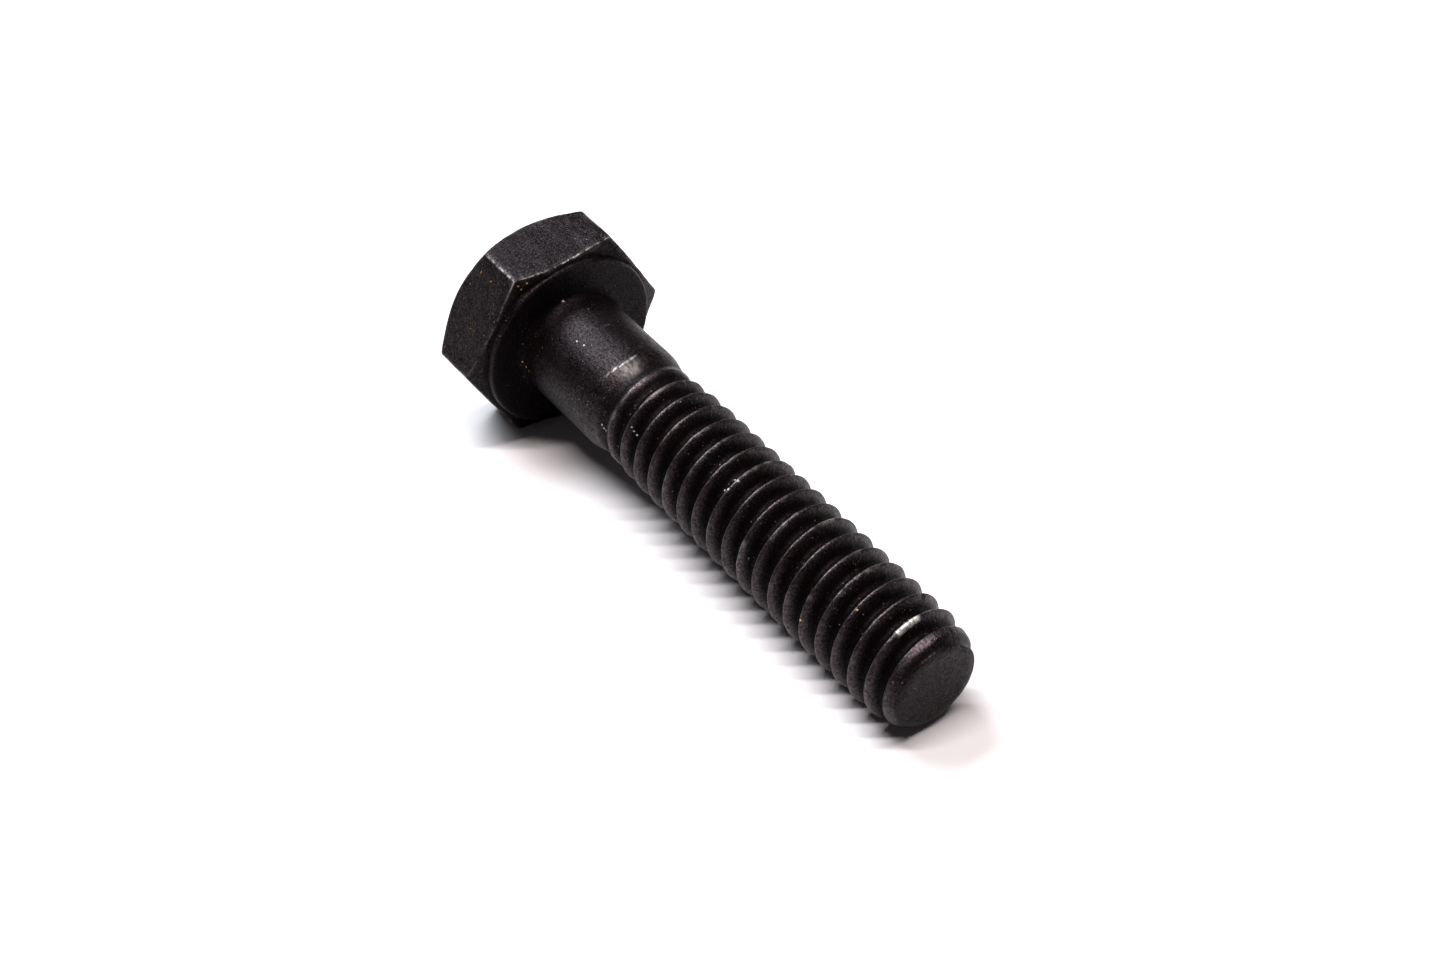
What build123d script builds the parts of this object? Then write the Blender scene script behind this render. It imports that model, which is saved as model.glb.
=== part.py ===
from build123d import *
import math
import os

# Hex cap screw, 1/4-20 UNC by 1-1/4 in, partly threaded, right-handed.
# Millimetres. The screw lies along X: the origin is the centre of the bearing
# (washer) face under the head, the head is on the +X side and the thread runs
# to the tip at -X. Two wrench flats are level (+Z and -Z), so a flat of the
# head is what the screw rests on, and two hexagon corners point to +Y and -Y.

# driving dimensions
across_flats = 10.87        # wrench size, 7/16 in
corner_radius = 0.25        # rounding of the six upright hexagon corners
head_height = 4.14          # bearing face to top of head
top_flat_radius = 5.30      # flat circle on top, inside the chamfer
top_chamfer_angle = 40.5    # of the cone over the corners, from the top plane
washer_radius = 5.16        # raised washer face under the head
washer_height = 0.45
under_chamfer_angle = 17.5  # of the cone under the corners, from the bearing plane
under_fillet = 0.30         # where the shank meets the bearing face
length = 31.0               # bearing face to end of thread
shank_diameter = 6.25       # plain body
shank_end = 5.85            # where the plain body starts to taper to the thread
major_diameter = 6.22       # thread crests
pitch = 25.4 / 20           # 20 threads per inch
root_radius = 2.42
crest_flat = 0.16           # width of the flat on each crest
thread_angle = 60.0
crest_phase = 8.64          # distance from the bearing face to a crest, along the top (+Z) line
tip_radius = 2.23           # end face
tip_chamfer_start = 29.15   # where the point starts to cut the crests
fade_start = 6.05           # the first crest rises from the tapered blank here,
fade_radius = 2.80          # at this radius,
fade_end = 10.5             # and the crests have their full height from here on
ridge_sink = 0.10           # how deep the thread ridge is let into its core

shank_radius = shank_diameter / 2
crest_radius = major_diameter / 2
half_angle = math.radians(thread_angle / 2)
corner_reach = across_flats / math.sqrt(3) + 0.5

os.makedirs("parts", exist_ok=True)


def drop(angle, run):
    """Height of a cone of that angle over a radial run."""
    return run * math.tan(math.radians(angle))


# the head: a hexagon cut back by a cone above its corners and one below them
with BuildPart() as head:
    with BuildSketch(Plane.YZ.offset(washer_height)):
        RegularPolygon(radius=across_flats / 2, side_count=6, major_radius=False)
    extrude(amount=head_height - washer_height)
    fillet(head.edges().filter_by(Axis.X), radius=corner_radius)
    with BuildSketch(Plane.XZ) as head_limits:
        with BuildLine():
            Polyline(
                (washer_height, 0),
                (washer_height, washer_radius),
                (
                    washer_height + drop(under_chamfer_angle, corner_reach - washer_radius),
                    corner_reach,
                ),
                (
                    head_height - drop(top_chamfer_angle, corner_reach - top_flat_radius),
                    corner_reach,
                ),
                (head_height, top_flat_radius),
                (head_height, 0),
                close=True,
            )
        make_face()
    revolve(axis=Axis.X, mode=Mode.INTERSECT)

# the thread ridge: a 60 degree trapezoid swept along the helix
probe = Edge.make_helix(pitch, pitch, crest_radius, (0, 0, 0), (-1, 0, 0)) @ 0
start_angle = math.atan2(probe.Y, probe.Z)
start_at = crest_phase + pitch * start_angle / (2 * math.pi)
while start_at > shank_end + 0.35:
    start_at -= pitch
turns = math.ceil((length - start_at) / pitch) + 1
start_out = Vector(0, math.sin(start_angle), math.cos(start_angle))
base_half = crest_flat / 2 + (crest_radius - root_radius + ridge_sink) * math.tan(half_angle)

with BuildPart() as thread_ridge:
    with BuildLine() as helix_line:
        Helix(
            pitch=pitch,
            height=turns * pitch,
            radius=crest_radius,
            center=(-start_at, 0, 0),
            direction=(-1, 0, 0),
        )
    section_plane = Plane(
        origin=Vector(-start_at, 0, 0) + start_out * crest_radius,
        x_dir=start_out,
        z_dir=start_out.cross(Vector(-1, 0, 0)),
    )
    with BuildSketch(section_plane):
        Polygon(
            (0, -crest_flat / 2),
            (0, crest_flat / 2),
            (root_radius - ridge_sink - crest_radius, base_half),
            (root_radius - ridge_sink - crest_radius, -base_half),
            align=None,
        )
    sweep(path=helix_line.line, is_frenet=True)
    # the crests grow to full height over the first turns
    with BuildSketch(Plane.XZ):
        Polygon(
            (0, 0),
            (-fade_start, 0),
            (-fade_start, fade_radius),
            (-fade_end, crest_radius + 0.02),
            (-fade_end, 2 * crest_radius),
            (0, 2 * crest_radius),
            align=None,
        )
    revolve(axis=Axis.X, mode=Mode.SUBTRACT)

# the whole screw is one forged and rolled piece
with BuildPart() as hex_cap_screw:
    # root cylinder, longer than the screw, with the ridge on it
    with BuildSketch(Plane.XZ):
        Polygon(
            (0, 0),
            (0, root_radius),
            (-length - 3, root_radius),
            (-length - 3, 0),
            align=None,
        )
    revolve(axis=Axis.X)
    add(thread_ridge.part)
    # the point: a cone over the last crests, and the flat end face
    with BuildSketch(Plane.XZ):
        Polygon(
            (-tip_chamfer_start, crest_radius + 0.02),
            (-length, tip_radius),
            (-length, 0),
            (-length - 6, 0),
            (-length - 6, 5),
            (-tip_chamfer_start, 5),
            align=None,
        )
    revolve(axis=Axis.X, mode=Mode.SUBTRACT)
    # washer face, fillet, plain shank and its taper down to the thread
    with BuildSketch(Plane.XZ):
        with BuildLine():
            Polyline(
                (washer_height + 0.5, 0),
                (washer_height + 0.5, washer_radius - 0.5),
                (washer_height, washer_radius),
                (0.08, washer_radius),
                (0, washer_radius - 0.08),
                (0, shank_radius + under_fillet),
            )
            RadiusArc(
                (0, shank_radius + under_fillet),
                (-under_fillet, shank_radius),
                radius=under_fillet,
            )
            Polyline(
                (-under_fillet, shank_radius),
                (-shank_end, shank_radius),
                (-shank_end - 0.85, 2.82),
                (-shank_end - 2.75, root_radius),
                (-shank_end - 2.75, 0),
                (washer_height + 0.5, 0),
            )
        make_face()
    revolve(axis=Axis.X)
    add(head.part)

hex_cap_screw.part.label = "hex_cap_screw"
export_step(hex_cap_screw.part, "parts/hex_cap_screw.step")

box = hex_cap_screw.part.bounding_box()
print("solids", len(hex_cap_screw.part.solids()), "valid", hex_cap_screw.part.is_valid)
print("volume mm3", round(hex_cap_screw.part.volume, 2))
print("head", round(head.part.volume, 2), "ridge", round(thread_ridge.part.volume, 2))
print("box", box.min, box.max)
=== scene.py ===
import math

import bpy
import numpy as np
from mathutils import Matrix, Vector


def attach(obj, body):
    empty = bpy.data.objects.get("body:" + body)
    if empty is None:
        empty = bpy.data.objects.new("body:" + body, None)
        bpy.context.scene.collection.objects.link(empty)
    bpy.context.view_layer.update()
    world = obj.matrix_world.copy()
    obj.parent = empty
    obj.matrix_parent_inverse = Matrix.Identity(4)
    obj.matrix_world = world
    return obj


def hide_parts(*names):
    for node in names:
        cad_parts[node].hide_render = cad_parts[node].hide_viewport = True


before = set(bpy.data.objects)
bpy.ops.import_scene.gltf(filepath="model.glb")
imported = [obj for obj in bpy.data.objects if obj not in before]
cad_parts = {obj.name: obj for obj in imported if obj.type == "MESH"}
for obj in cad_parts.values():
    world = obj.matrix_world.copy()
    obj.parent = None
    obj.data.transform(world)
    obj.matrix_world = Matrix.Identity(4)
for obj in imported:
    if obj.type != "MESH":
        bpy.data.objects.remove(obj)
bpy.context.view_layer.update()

MM = 0.001

# ---------------------------------------------------------------- sizes, mm
# The screw lies along X, as in the CAD part: bearing face at x = 0, head at
# +X, tip at -X. t is the distance from the bearing face towards the tip, and
# theta turns about the screw from +Z towards +Y.
AF = 10.87
CORNER_R = 0.25
HEAD_H = 4.14
TOP_R = 5.30
TOP_ANGLE = math.radians(40.5)
WASHER_R = 5.16
WASHER_H = 0.45
UNDER_ANGLE = math.radians(17.5)
SHANK_R = 3.125
LENGTH = 31.0
CREST_R = 3.11
ROOT_R = 2.42
PITCH = 1.27
CREST_PHASE = 8.67
TIP_R = 2.40

NCOL = 216
THREAD_T0 = 5.70
THREAD_T1 = 30.84


def waves(points, size, seed, n=30):
    """Smooth unevenness of about unit size, from seeded waves in space."""
    rng = np.random.RandomState(seed)
    out = np.zeros(len(points))
    for _ in range(n):
        d = rng.normal(size=3)
        d /= np.linalg.norm(d)
        k = 2 * math.pi / (size * rng.uniform(0.7, 1.6))
        out += np.sin(points @ d * k + rng.uniform(0, 2 * math.pi))
    return out / math.sqrt(n / 2)


def smooth_max(a, b, k):
    h = np.clip(0.5 + 0.5 * (a - b) / k, 0, 1)
    return b * (1 - h) + a * h + k * h * (1 - h)


def smooth_min(a, b, k):
    return -smooth_max(-a, -b, k)


# columns crowd together at the six corners of the hexagon
beta = np.arange(NCOL) * 2 * math.pi / NCOL
alpha = beta - 0.6 / 6 * np.sin(6 * beta)
THETA = alpha + math.radians(30)  # the corners are at 30 + 60 k degrees


def hexagon(theta, corner_r=CORNER_R):
    """Distance from the axis to the hexagon's side, corners rounded."""
    to_flat = (theta + math.pi / 6) % (math.pi / 3) - math.pi / 6
    r = AF / 2 / np.cos(to_flat)
    to_corner = theta % (math.pi / 3) - math.pi / 6
    c = (AF / 2 - corner_r) / math.cos(math.pi / 6)
    reach = math.atan2(corner_r * 0.5, c + corner_r * math.cos(math.pi / 6))
    arc = c * np.cos(to_corner) + np.sqrt(
        np.maximum(corner_r**2 - (c * np.sin(to_corner)) ** 2, 0)
    )
    return np.where(np.abs(to_corner) < reach, arc, r)


def rounded_path(points, radii, between, arc=4):
    """points: (r, x) control points, each an array over columns; radii: the
    size of the rounding at each inner point; between: how many rows lie
    inside each straight stretch. Returns rows of r and x, and how far each row
    is into a rounding (1 at its middle)."""
    P = [np.stack([np.broadcast_to(a, NCOL), np.broadcast_to(b, NCOL)], 1).astype(float) for a, b in points]
    rows, bend = [P[0]], [0.0]
    start = P[0]
    for i in range(1, len(P)):
        if i < len(P) - 1:
            a, b = P[i] - P[i - 1], P[i + 1] - P[i]
            la, lb = np.linalg.norm(a, axis=1)[:, None], np.linalg.norm(b, axis=1)[:, None]
            cut = np.minimum(radii[i], 0.45 * np.minimum(la, lb))
            stop, go = P[i] - a / la * cut, P[i] + b / lb * cut
        else:
            stop = P[i]
        for k in range(1, between[i - 1] + 1):
            rows.append(start + (stop - start) * k / (between[i - 1] + 1))
            bend.append(0.0)
        rows.append(stop)
        bend.append(0.0 if i == len(P) - 1 else 0.35)
        if i < len(P) - 1:
            for k in range(1, arc):
                s = k / arc
                rows.append(stop * (1 - s) ** 2 + P[i] * 2 * s * (1 - s) + go * s**2)
                bend.append(1.0 if k == arc // 2 else 0.8)
            rows.append(go)
            bend.append(0.35)
            start = go
    return np.array(rows), np.array(bend)


# ---------------------------------------------------------------- the thread
BASE_T = [0.0, 5.85, 6.10, 6.45, 6.75, 7.2, 8.0, 9.0, 9.8, 40.0]
BASE_R = [3.125, 3.125, 3.06, 2.965, 2.86, 2.75, 2.60, 2.46, 2.42, 2.42]
PEAK_T = [0.0, 5.85, 6.20, 6.60, 7.17, 8.45, 9.70, 10.9, 40.0]
PEAK_R = [3.125, 3.125, 3.045, 2.93, 2.905, 3.00, 3.075, 3.11, 3.11]
# the rolled point: how far out the last crests still reach
POINT_T = [0.0, 28.6, 29.0, 29.5, 30.08, 30.33, 30.56, 30.73, 30.90, 32.0]
POINT_R = [3.20, 3.20, 3.13, 3.00, 2.88, 2.82, 2.74, 2.62, 2.46, 2.40]
PHASES = np.array(
    [-0.5, -0.44, -0.38, -0.31, -0.235, -0.17, -0.12, -0.08, -0.04, 0.0, 0.04, 0.08, 0.12, 0.17, 0.235, 0.31, 0.38, 0.44]
)


def soft_table(t, xs, ys, soft=0.12):
    """A table of straight stretches, with its corners eased."""
    return (np.interp(t - soft, xs, ys) + 2 * np.interp(t, xs, ys) + np.interp(t + soft, xs, ys)) / 4


def ridge(u):
    """Shape of one thread, 1 on the crest and 0 in the root, for u in pitches."""
    depth = CREST_R - ROOT_R

    def fall(a):
        h = math.sqrt(3) * (a * PITCH - 0.075)
        h = smooth_max(h, np.zeros_like(h), 0.17)
        return smooth_min(h, np.full_like(h, depth + 0.02), 0.26)

    top, low = fall(np.zeros(1)), fall(np.full(1, 0.5))
    return 1 - (fall(np.abs(u)) - top) / (low - top)


def screw_radius(t, theta):
    """Radius of the shank and thread at t, and how near a crest it is."""
    u = (t - CREST_PHASE) / PITCH - theta / (2 * math.pi)
    u = u - np.round(u)
    base, peak = soft_table(t, BASE_T, BASE_R), soft_table(t, PEAK_T, PEAK_R)
    s = ridge(u)
    r = base + (peak - base) * s
    # the point takes the last crests down to the end face
    r = smooth_min(r, soft_table(t, POINT_T, POINT_R, 0.10), 0.06)
    return r, s, u


# ---------------------------------------------------------------- build rows
def build():
    verts, marks = [], []  # marks: wear and a painted highlight on edges, crest, painted shade in recesses, rubbed patches and a painted highlight line

    def add(r, t, theta, wear_and_highlight, crest, recess_shade, rub_and_highlight=None):
        first = len(verts)
        p = np.stack([-t, r * np.sin(theta), r * np.cos(theta)], 1)
        verts.extend(p)
        marks.extend(np.stack([wear_and_highlight, crest, recess_shade, 0 * wear_and_highlight if rub_and_highlight is None else rub_and_highlight], 1))
        return np.arange(first, first + len(p))

    rh = hexagon(THETA)
    zero = np.zeros(NCOL)
    # unevenness of the forged edges, along the edge
    ring = np.stack([np.sin(THETA) * 6, np.cos(THETA) * 6, zero], 1)
    # the lower edge hangs further down along the flat at theta = 0
    deg = (np.degrees(THETA) + 180) % 360 - 180
    hang = np.interp(deg, [-180, -60, -32, -12, 0, 15, 24, 32, 45, 60, 95, 180], [0.0, 0.05, 0.20, 0.18, 0.30, 0.42, 0.40, 0.30, 0.15, 0.08, 0.03, 0.0])
    low_edge = 0.014 * waves(ring, 2.4, 11) + 0.006 * waves(ring, 0.7, 12) - hang
    top_edge = 0.008 * waves(ring, 3.0, 13)
    low = WASHER_H + math.tan(UNDER_ANGLE) * (rh - WASHER_R) + low_edge
    wh = smooth_min(low - 0.05, np.full(NCOL, WASHER_H), 0.05)
    control = [
        (0 * rh, HEAD_H + zero - 0.03),
        (3.6 + zero, HEAD_H + zero - 0.015),
        (TOP_R + zero, HEAD_H + zero),
        (rh, HEAD_H - math.tan(TOP_ANGLE) * (rh - TOP_R) + top_edge),
        (rh, low),
        (WASHER_R + 0.02 + zero, wh),
        (WASHER_R + zero, zero),
        (SHANK_R + zero, zero),
        (SHANK_R + zero, -THREAD_T0 + zero),
    ]
    rows, bend = rounded_path(
        control,
        [0, 0.8, 0.30, 0.10, 0.09, 0.07, 0.15, 0.42, 0],
        [3, 2, 3, 9, 3, 1, 7, 15],
    )
    edge_from, edge_to = None, None
    top = add(np.array([0.0]), np.array([-HEAD_H + 0.03]), np.array([0.0]), zero[:1], zero[:1], zero[:1])
    ids = []
    corner = np.clip(1 - np.abs(THETA % (math.pi / 3) - math.pi / 6) / math.radians(1.0), 0, 1)
    for k in range(1, len(rows)):
        r, x = rows[k][:, 0], rows[k][:, 1]
        side = (np.abs(r - rh) < 0.03) & (x > low - 0.02)
        rim = (r > WASHER_R - 0.25) & (x < wh - 0.02)
        # bare worn edges, made strongest on the upper side (theta -28 to 34 degrees) and on the corner at 30
        # degrees, where they also serve as a painted highlight
        wear_and_highlight_by_angle = np.where(x < HEAD_H / 2, np.interp(deg, [-180, -60, -34, -28, 34, 42, 95, 180], [0.55, 0.5, 0.8, 1.0, 1.0, 0.72, 0.66, 0.55]), 0.55)
        wear_and_highlight = np.where(side | (r > WASHER_R + 0.2), bend[k] * wear_and_highlight_by_angle, np.where(rim, 0.08 * bend[k], 0.0))
        wear_and_highlight = np.where(side, np.maximum(wear_and_highlight, corner * np.where(np.abs(deg - 30) < 5, 1.0, 0.7)), wear_and_highlight)
        # painted shade: the washer face, the fillet to the shank, the crease at the washer rim and the underside of
        # the head are marked darker; under the head it is strongest between theta -60 and 22 degrees
        face = np.clip((0.5 - x) / 0.12, 0, 1) * np.clip((WASHER_R + 0.05 - r) / 0.25, 0, 1)
        recess_shade = 0.75 * face * np.clip((r - SHANK_R + 0.05) / 0.1, 0, 1)
        recess_shade = np.maximum(recess_shade, face * np.clip((SHANK_R + 0.75 - r) / 0.45, 0, 1) * np.clip((x + 0.60) / 0.40, 0, 1))
        recess_shade = np.maximum(recess_shade, np.where((np.abs(x - wh) < 0.08) & (r < WASHER_R + 0.15), 0.8, 0.0))
        under = (r > WASHER_R + 0.02) & (x < low - 0.03)
        recess_shade = np.maximum(recess_shade, np.where(under, np.interp(deg, [-180, -70, -60, 22, 34, 180], [0.3, 0.3, 0.7, 0.75, 0.35, 0.3]), 0.0))
        ids.append(add(r, -x, THETA, wear_and_highlight, zero, recess_shade))
    # rows along the thread, each following the helix
    n = len(PHASES)
    m0 = math.floor((THREAD_T0 - CREST_PHASE) / PITCH) - 2
    m1 = math.ceil((THREAD_T1 - CREST_PHASE) / PITCH) + 2
    steps = np.concatenate([m + PHASES for m in range(m0, m1 + 1)])
    turn = (THETA - THETA[0]) / (2 * math.pi)
    t = CREST_PHASE + PITCH * (steps[:, None] + (THETA[0] / (2 * math.pi)) + turn[None, :])
    keep = (t > THREAD_T0 + 0.02) & (t < THREAD_T1 - 0.02)
    grid = np.full(t.shape, -1)
    first_ring = ids[-1]
    theta_grid = np.broadcast_to(THETA[None, :], t.shape)
    rr, ss, uu = screw_radius(t[keep], theta_grid[keep])
    crest = np.clip((ss - 0.52) / 0.36, 0, 1) * np.clip((t[keep] - 6.4) / 1.2, 0, 1) * np.clip((30.75 - t[keep]) / 0.35, 0, 1)
    # one bright rubbed patch on the last full crest
    at = (np.degrees(theta_grid[keep]) + 180) % 360 - 180
    rubbed = np.clip((15.5 - np.abs(at - 8)) / 2.5, 0, 1) * np.clip((0.20 - np.abs(t[keep] - (28.97 + PITCH * at / 360))) / 0.05, 0, 1)
    # and a faint one where the shank runs out
    bent = 0.05 * np.sin(np.radians(at * 9))
    faint = np.clip((17 - np.abs(at - 12)) / 13, 0, 1) * np.clip((0.52 - np.abs(t[keep] - 6.38 - bent)) / 0.3, 0, 1)
    # a thin bright line along the shank's shoulder edge, on its upper side: a painted highlight
    shoulder_highlight = np.clip((20 - np.abs(at - 15)) / 5, 0, 1) * np.clip((0.055 - np.abs(t[keep] - 5.93 - bent)) / 0.04, 0, 1)
    rub_and_highlight = np.maximum(rubbed, np.maximum(0.20 * faint, 0.55 * shoulder_highlight))
    # painted shade in the thread roots and flanks, weaker near the point
    recess_shade = np.clip((0.60 - ss) / 0.3, 0, 1) * np.clip((t[keep] - 6.4) / 0.8, 0, 1) * np.clip((LENGTH - 0.3 - t[keep]) / 0.5, 0.35, 1)
    grid[keep] = add(rr, t[keep], theta_grid[keep], 0 * rr, crest, recess_shade, rub_and_highlight)
    r1 = screw_radius(np.full(NCOL, THREAD_T1), THETA)[0]
    last_ring = add(r1, np.full(NCOL, THREAD_T1), THETA, zero, zero, zero)
    grid = np.where(t <= THREAD_T0 + 0.02, first_ring[None, :], grid)
    grid = np.where(t >= THREAD_T1 - 0.02, last_ring[None, :], grid)
    # the rest of the point and the end face
    rim = np.minimum(r1, TIP_R + 0.05) + 0.01 * waves(ring, 2.5, 15)
    tip_rows, tip_bend = rounded_path(
        [(r1, -THREAD_T1 + zero), (rim - 0.02, -LENGTH + 0.07 + zero), (rim - 0.34, -LENGTH + zero), (1.3 + zero, -LENGTH + 0.03 + zero), (zero, -LENGTH + 0.05 + zero)],
        [0, 0.12, 0.24, 0.5, 0],
        [0, 0, 3, 3],
    )
    tip_ids = [last_ring]
    for k in range(1, len(tip_rows) - 1):
        r, x = tip_rows[k][:, 0], tip_rows[k][:, 1]
        # the point and its end face carry a painted shade of 0.45
        tip_ids.append(add(r, -x, THETA, np.where(r > 2.0, 0.2 * tip_bend[k], 0.0), zero, 0.45 + zero))
    end = add(np.array([0.0]), np.array([LENGTH - 0.05]), np.array([0.0]), zero[:1], zero[:1], zero[:1])

    faces = []

    def put(f):
        g = [f[k] for k in range(len(f)) if f[k] != f[k - 1]]
        if len(g) >= 3 and len(set(g)) == len(g):
            faces.append(g)

    nxt = np.roll(np.arange(NCOL), -1)
    for j in range(NCOL):
        put([int(top[0]), int(ids[0][j]), int(ids[0][nxt[j]])])
        put([int(end[0]), int(tip_ids[-1][nxt[j]]), int(tip_ids[-1][j])])
    for rows_ in (ids, tip_ids):
        for a, b in zip(rows_[:-1], rows_[1:]):
            for j in range(NCOL):
                put([int(a[j]), int(b[j]), int(b[nxt[j]]), int(a[nxt[j]])])
    total = grid.shape[0]
    for j in range(NCOL):
        if j < NCOL - 1:
            for i in range(total - 1):
                put([int(grid[i, j]), int(grid[i + 1, j]), int(grid[i + 1, j + 1]), int(grid[i, j + 1])])
        else:  # the last column meets the first one turn on
            for i in range(total - 1 - n):
                put([int(grid[i, j]), int(grid[i + 1, j]), int(grid[i + 1 + n, 0]), int(grid[i + n, 0])])
    return np.array(verts), faces, np.array(marks)


P, faces, marks = build()
mesh = bpy.data.meshes.new("hex_cap_screw_body")
mesh.from_pydata((P * MM).tolist(), [], faces)
mesh.validate()
mesh.update()

import bmesh

bm = bmesh.new()
bm.from_mesh(mesh)
bmesh.ops.recalc_face_normals(bm, faces=bm.faces)
open_edges = sum(1 for e in bm.edges if not e.is_manifold)
bm.to_mesh(mesh)
bm.free()
mesh.update()
print("verts", len(mesh.vertices), "faces", len(mesh.polygons), "tris", sum(len(p.vertices) - 2 for p in mesh.polygons), "open edges", open_edges)

# small unevenness along the surface normals
co = np.zeros(len(mesh.vertices) * 3)
mesh.vertices.foreach_get("co", co)
co = co.reshape(-1, 3) / MM
normal = np.zeros(len(mesh.vertices) * 3)
mesh.vertices.foreach_get("normal", normal)
normal = normal.reshape(-1, 3)
on_head = np.clip(co[:, 0] + 0.3, 0, 1)
lift = on_head * (0.012 * waves(co, 3.5, 21) + 0.005 * waves(co, 1.1, 22)) + 0.004 * waves(co, 0.9, 23) + 0.002 * waves(co, 0.35, 24)
co = co + normal * lift[:, None]

# nicks: small dents in crests and edges
rng = np.random.RandomState(5)
crest_points = np.where(marks[:, 1] > 0.9)[0]
edge_points = np.where(marks[:, 0] > 0.7)[0]
for pick, count, deep, wide in ((crest_points, 90, 0.05, 0.16), (edge_points, 50, 0.03, 0.20)):
    for c in rng.choice(pick, count, replace=False):
        d2 = ((co - co[c]) ** 2).sum(1)
        size = wide * rng.uniform(0.5, 1.3)
        near = d2 < (3 * size) ** 2
        co[near] -= normal[near] * (deep * rng.uniform(0.3, 1.0) * np.exp(-d2[near] / size**2))[:, None]
mesh.vertices.foreach_set("co", (co * MM).ravel())
mesh.update()

for k, name in enumerate(("wear_and_highlight", "crest", "recess_shade", "rubbed")):
    a = mesh.attributes.new(name, "FLOAT", "POINT")
    a.data.foreach_set("value", marks[:, k].astype(np.float32))
for p in mesh.polygons:
    p.use_smooth = True

screw = bpy.data.objects.new("hex_cap_screw_body", mesh)
bpy.context.scene.collection.objects.link(screw)
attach(screw, "root")
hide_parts("hex_cap_screw")


# ---------------------------------------------------------------- material
BRASS = [(0.46, 2.92, 5.03), (0.45, 2.75, 4.75), (0.33, 2.44, 5.09), (-0.09, 3.25, 0.24), (-0.30, 3.14, -0.02), (-0.55, 3.12, -0.14), (-13.6, -2.67, 1.54), (-24.19, 3.02, 0.72), (-26.65, 1.55, 2.63)]
LINT = [
    (-6.94, 2.77, 0.52), (-7.09, 2.75, 0.41), (-7.28, 2.75, 0.34), (-9.04, 2.32, 1.72), (-9.16, 2.28, 1.51), (-9.31, 2.20, 1.30),
    (-15.82, 1.38, 2.00), (-16.38, 1.61, 2.65), (-15.80, 0.74, 2.33), (-16.42, 1.02, 2.90), (-2.81, 1.46, 2.76), (-3.34, 1.37, 2.81), (-0.11, 0.50, 3.19),
]


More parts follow.
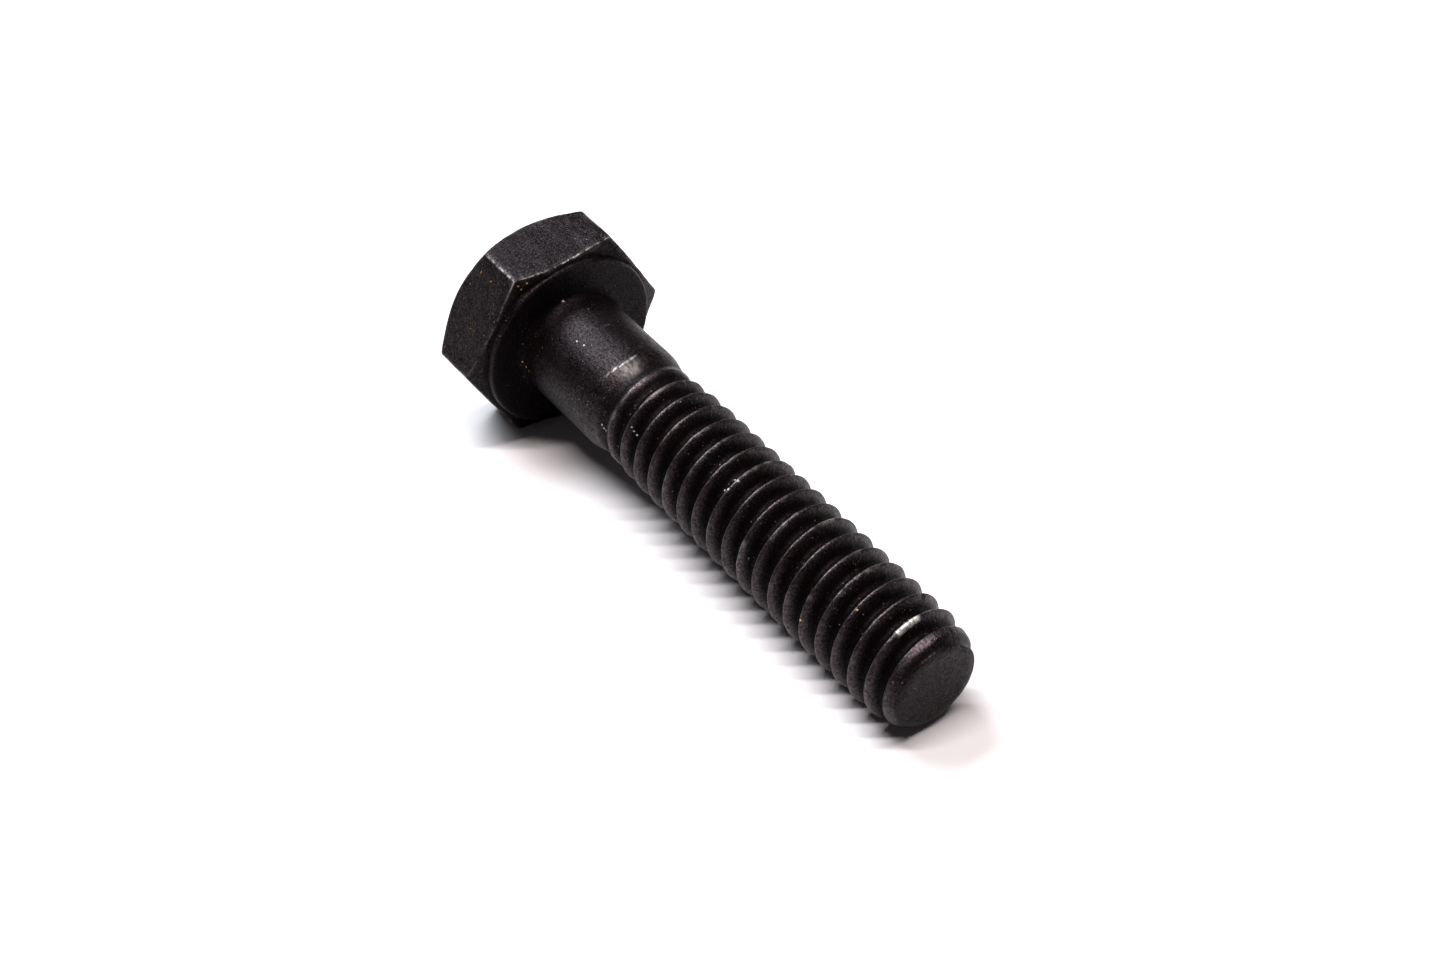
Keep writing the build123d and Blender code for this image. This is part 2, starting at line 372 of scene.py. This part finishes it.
def steel():
    m = bpy.data.materials.new("black_oxide_steel")
    m.use_nodes = True
    nt = m.node_tree
    for x in list(nt.nodes):
        nt.nodes.remove(x)
    N, L = nt.nodes.new, nt.links.new

    def socket(node, name, value):
        if isinstance(value, bpy.types.NodeSocket):
            L(value, node.inputs[name])
        else:
            node.inputs[name].default_value = value

    def math_(op, a, b=0.0, clamp=False):
        node = N("ShaderNodeMath")
        node.operation = op
        node.use_clamp = clamp
        socket(node, 0, a)
        socket(node, 1, b)
        return node.outputs[0]

    def ramp(value, stops, interpolation="LINEAR"):
        node = N("ShaderNodeValToRGB")
        node.color_ramp.interpolation = interpolation
        els = node.color_ramp.elements
        while len(els) < len(stops):
            els.new(0.5)
        for e, (pos, col) in zip(els, stops):
            e.position = pos
            e.color = (*col, 1) if not isinstance(col, (int, float)) else (col, col, col, 1)
        L(value, node.inputs[0])
        return node.outputs[0]

    coords = N("ShaderNodeTexCoord").outputs["Object"]

    def noise(scale, detail=2.0, rough=0.5, vector=coords):
        node = N("ShaderNodeTexNoise")
        L(vector, node.inputs["Vector"])
        node.inputs["Scale"].default_value = scale
        node.inputs["Detail"].default_value = detail
        node.inputs["Roughness"].default_value = rough
        return node.outputs["Fac"]

    def mix(fac, a, b, kind="RGBA"):
        node = N("ShaderNodeMix")
        node.data_type = kind
        socket(node, 0, fac)
        ia, ib = (6, 7) if kind == "RGBA" else (2, 3)
        for i, v in ((ia, a), (ib, b)):
            if isinstance(v, bpy.types.NodeSocket):
                L(v, node.inputs[i])
            else:
                node.inputs[i].default_value = (*v, 1) if kind == "RGBA" else v
        return node.outputs[2 if kind == "RGBA" else 0]

    def attribute(name):
        node = N("ShaderNodeAttribute")
        node.attribute_name = name
        return node.outputs["Fac"]

    wear_and_highlight, crest, recess_shade = attribute("wear_and_highlight"), attribute("crest"), attribute("recess_shade")
    cloud, mottled, grain, fine = noise(350, 3), noise(1500, 4, 0.6), noise(8500, 3, 0.65), noise(26000, 2)

    # the oxide: nearly black, with faint brown and violet clouds
    base = mix(ramp(cloud, [(0.35, 0.0), (0.65, 1.0)]), (0.0008, 0.0005, 0.0006), (0.0019, 0.0011, 0.0010))
    base = mix(ramp(mottled, [(0.45, 0.0), (0.75, 1.0)]), base, (0.0027, 0.0019, 0.0023))
    base = mix(ramp(grain, [(0.55, 0.0), (0.72, 1.0)]), base, (0.0085, 0.0068, 0.0074))
    # painted shade: the marked recesses (thread roots, under the head, the fillet, the point) are darkened
    base = mix(math_("MULTIPLY", recess_shade, 0.7), base, (0.0011, 0.0007, 0.0007))
    # small light specks, and a few brassy ones
    speck = ramp(noise(9500, 1), [(0.735, 0.0), (0.775, 1.0)])
    speck = math_("MULTIPLY", speck, ramp(noise(560, 2), [(0.48, 0.05), (0.60, 1.0)]))
    base = mix(math_("MULTIPLY", speck, 0.7), base, (0.28, 0.27, 0.26))
    brass = math_("MULTIPLY", ramp(noise(4600, 1), [(0.775, 0.0), (0.80, 1.0)]), ramp(noise(330, 1), [(0.50, 0.0), (0.58, 1.0)]))
    base = mix(math_("MULTIPLY", brass, 0.8), base, (0.27, 0.14, 0.022))
    # dirt and lint caught in a few places
    shift = N("ShaderNodeTexNoise")
    L(coords, shift.inputs["Vector"])
    shift.inputs["Scale"].default_value = 6000
    wobble = N("ShaderNodeVectorMath")
    wobble.operation = "MULTIPLY_ADD"
    L(shift.outputs["Color"], wobble.inputs[0])
    wobble.inputs[1].default_value = (0.00014, 0.00014, 0.00014)
    L(coords, wobble.inputs[2])

    def spots(points):
        nearest = None
        for x, y, z in points:
            node = N("ShaderNodeVectorMath")
            node.operation = "DISTANCE"
            L(wobble.outputs[0], node.inputs[0])
            node.inputs[1].default_value = ((x + 0.07) * MM, (y + 0.07) * MM, (z + 0.07) * MM)
            d = node.outputs["Value"]
            nearest = d if nearest is None else math_("MINIMUM", nearest, d)
        return ramp(math_("MULTIPLY", nearest, 1000.0), [(0.040, 1.0), (0.065, 0.0)])

    base = mix(spots(BRASS), base, (0.55, 0.30, 0.05))
    base = mix(math_("MULTIPLY", spots(LINT), 0.85), base, (0.33, 0.32, 0.31))
    # bare steel on edges and crests, broken up; on the upper head edges and along the shoulder line it is also a
    # painted highlight
    broken = ramp(noise(1900, 5, 0.75), [(0.44, 0.05), (0.53, 1.0)])
    patchy = ramp(noise(420, 2), [(0.42, 0.22), (0.60, 1.0)])
    bare_and_highlight = math_("MULTIPLY", math_("POWER", wear_and_highlight, 2.1), math_("MULTIPLY", broken, patchy), True)
    rare = ramp(noise(650, 3, 0.6), [(0.54, 0.02), (0.68, 1.0)])
    # bare metal on the edges is held back below the top of the hexagon, so the bright edges sit on its upper side: a
    # painted highlight as well as wear
    place = N("ShaderNodeSeparateXYZ")
    L(coords, place.inputs[0])
    bare_and_highlight = math_("MULTIPLY", bare_and_highlight, ramp(math_("MULTIPLY", place.outputs["Z"], 100.0), [(0.48, 0.35), (0.53, 1.0)]))
    bare_crest = math_("MULTIPLY", math_("MULTIPLY", math_("POWER", crest, 6.0), 0.14), math_("MULTIPLY", broken, rare), True)
    bare_and_highlight = math_("MAXIMUM", bare_and_highlight, bare_crest)
    along = N("ShaderNodeMapping")
    along.inputs["Scale"].default_value = (0.22, 1.0, 1.0)
    L(coords, along.inputs["Vector"])
    streak = ramp(noise(5200, 4, 0.7, along.outputs[0]), [(0.40, 0.15), (0.58, 1.0)])
    # the rubbed patches and the painted highlight line at the shoulder show as streaky bare metal
    bare_and_highlight = math_("MAXIMUM", bare_and_highlight, math_("MULTIPLY", attribute("rubbed"), streak))
    color = mix(bare_and_highlight, base, (0.50, 0.475, 0.44))

    rough = mix(ramp(mottled, [(0.3, 0.0), (0.75, 1.0)]), 0.29, 0.43, "FLOAT")
    rough = mix(bare_and_highlight, rough, 0.34, "FLOAT")
    rough = mix(math_("MULTIPLY", recess_shade, 0.8), rough, 0.50, "FLOAT")
    rough = mix(math_("MULTIPLY", crest, 0.7), rough, 0.39, "FLOAT")

    height = math_("ADD", math_("MULTIPLY", grain, 0.8), math_("MULTIPLY", mottled, 1.0))
    height = math_("ADD", height, math_("MULTIPLY", fine, 0.3))
    bump = N("ShaderNodeBump")
    bump.inputs["Strength"].default_value = 0.9
    bump.inputs["Distance"].default_value = 0.00003
    L(height, bump.inputs["Height"])

    out = N("ShaderNodeOutputMaterial")
    bsdf = N("ShaderNodeBsdfPrincipled")
    L(color, bsdf.inputs["Base Color"])
    L(rough, bsdf.inputs["Roughness"])
    L(math_("MULTIPLY", bare_and_highlight, 0.6), bsdf.inputs["Metallic"])
    bsdf.inputs["Specular Tint"].default_value = (1.0, 0.79, 0.86, 1)
    gloss = mix(recess_shade, mix(crest, 0.14, 0.37, "FLOAT"), 0.028, "FLOAT")
    glint = math_("ADD", ramp(grain, [(0.38, 0.22), (0.62, 1.0)]), ramp(noise(15000, 1), [(0.62, 0.0), (0.74, 1.0)]))
    # the rough thread throws little light back at a glancing angle
    facing = N("ShaderNodeLayerWeight").outputs["Facing"]
    facing.node.inputs["Blend"].default_value = 0.5
    dull = math_("MULTIPLY", math_("MAXIMUM", crest, recess_shade), ramp(facing, [(0.50, 0.0), (0.90, 0.92)]))
    gloss = math_("MULTIPLY", gloss, math_("SUBTRACT", 1.0, dull))
    L(math_("MULTIPLY", gloss, math_("MULTIPLY", glint, 1.62)), bsdf.inputs["Specular IOR Level"])
    bsdf.inputs["IOR"].default_value = 1.5
    L(bump.outputs[0], bsdf.inputs["Normal"])
    L(bsdf.outputs[0], out.inputs[0])
    return m


mesh.materials.append(steel())

# ---------------------------------------------------------------- camera
CAM_F = 2748.1
CAM_C = (-94.46, 61.63, 98.70)
CAM_RIGHT = Vector((-0.59653, -0.80248, 0.01362))
CAM_DOWN = Vector((-0.56407, 0.40711, -0.71839))
CAM_FWD = Vector((0.57095, -0.43623, -0.69551))
cam_data = bpy.data.cameras.new("camera")
cam = bpy.data.objects.new("camera", cam_data)
bpy.context.scene.collection.objects.link(cam)
up = -CAM_DOWN
rot = Matrix((CAM_RIGHT, up, -CAM_FWD)).transposed()
cam.matrix_world = Matrix.Translation(Vector(CAM_C) * MM) @ rot.to_4x4()
cam_data.sensor_width = 36
cam_data.lens = CAM_F / 1445 * 36
cam_data.clip_start, cam_data.clip_end = 0.005, 10
cam_data.dof.use_dof = False
bpy.context.scene.camera = cam

# ---------------------------------------------------------------- floor
# The screw lies on the lower edge of a head flat and on its last crests, so
# the floor rises a little towards the tip.
slope = math.atan((AF / 2 - CREST_R) / (28.9 + 0.45))
contact = Vector((0.45, 0, -AF / 2)) * MM
floor_up = Vector((math.sin(slope), 0, math.cos(slope)))
floor_along = Vector((math.cos(slope), 0, -math.sin(slope)))
floor_mesh = bpy.data.meshes.new("floor")
c = contact - floor_up * 0.00003
s = 0.14
floor_mesh.from_pydata(
    [tuple(c + floor_along * a * s + Vector((0, 1, 0)) * b * s) for a, b in ((-1, -1), (1, -1), (1, 1), (-1, 1))],
    [],
    [(0, 1, 2, 3)],
)
floor = bpy.data.objects.new("floor", floor_mesh)
bpy.context.scene.collection.objects.link(floor)
fm = bpy.data.materials.new("white_floor")
fm.use_nodes = True
fb = fm.node_tree.nodes["Principled BSDF"]
fb.inputs["Base Color"].default_value = (0.48, 0.455, 0.465, 1)
fb.inputs["Roughness"].default_value = 0.8
fb.inputs["Specular IOR Level"].default_value = 0.2
floor_mesh.materials.append(fm)

# ---------------------------------------------------------------- light
world = bpy.data.worlds.new("world")
bpy.context.scene.world = world
world.use_nodes = True
wn, wl = world.node_tree.nodes, world.node_tree.links
for x in list(wn):
    wn.remove(x)
wo = wn.new("ShaderNodeOutputWorld")
w1, w2, wm, lp = wn.new("ShaderNodeBackground"), wn.new("ShaderNodeBackground"), wn.new("ShaderNodeMixShader"), wn.new("ShaderNodeLightPath")
w1.inputs[0].default_value = (0.86, 0.80, 0.84, 1)
w1.inputs[1].default_value = 0.10
w2.inputs[0].default_value = (1, 1, 1, 1)
w2.inputs[1].default_value = 1.15
wl.new(lp.outputs["Is Camera Ray"], wm.inputs[0])
wl.new(w1.outputs[0], wm.inputs[1])
wl.new(w2.outputs[0], wm.inputs[2])
wl.new(wm.outputs[0], wo.inputs[0])

middle = Vector((-0.013, 0, -0.001))


def softbox(name, toward, distance, size, power, colour=(1, 1, 1), side=(0, 1, 0)):
    """A rectangular light: toward is its direction from the screw, side is the
    direction of its first size."""
    d = Vector(toward).normalized()
    data = bpy.data.lights.new(name, "AREA")
    data.shape = "RECTANGLE"
    data.size, data.size_y = size
    data.energy = power
    data.color = colour
    o = bpy.data.objects.new(name, data)
    bpy.context.scene.collection.objects.link(o)
    a = Vector(side)
    a = (a - d * a.dot(d)).normalized()
    b = d.cross(a)
    o.matrix_world = Matrix.Translation(middle + d * distance) @ Matrix((a, b, d)).transposed().to_4x4()
    return o


across = (CAM_RIGHT[0], CAM_RIGHT[1], 0)
softbox("over_head", (0.60, 0.10, 0.80), 0.5, (0.30, 0.17), 5.0, (0.88, 0.96, 1.0))
softbox("strip", (0.0, 0.0, 1.0), 0.5, (0.50, 0.035), 5.2, (1.0, 0.95, 0.93), across)

bpy.context.scene.view_settings.view_transform = "Standard"
bpy.context.scene.view_settings.look = "None"
bpy.context.scene.view_settings.exposure = 0.0
bpy.context.scene.view_settings.gamma = 1.0
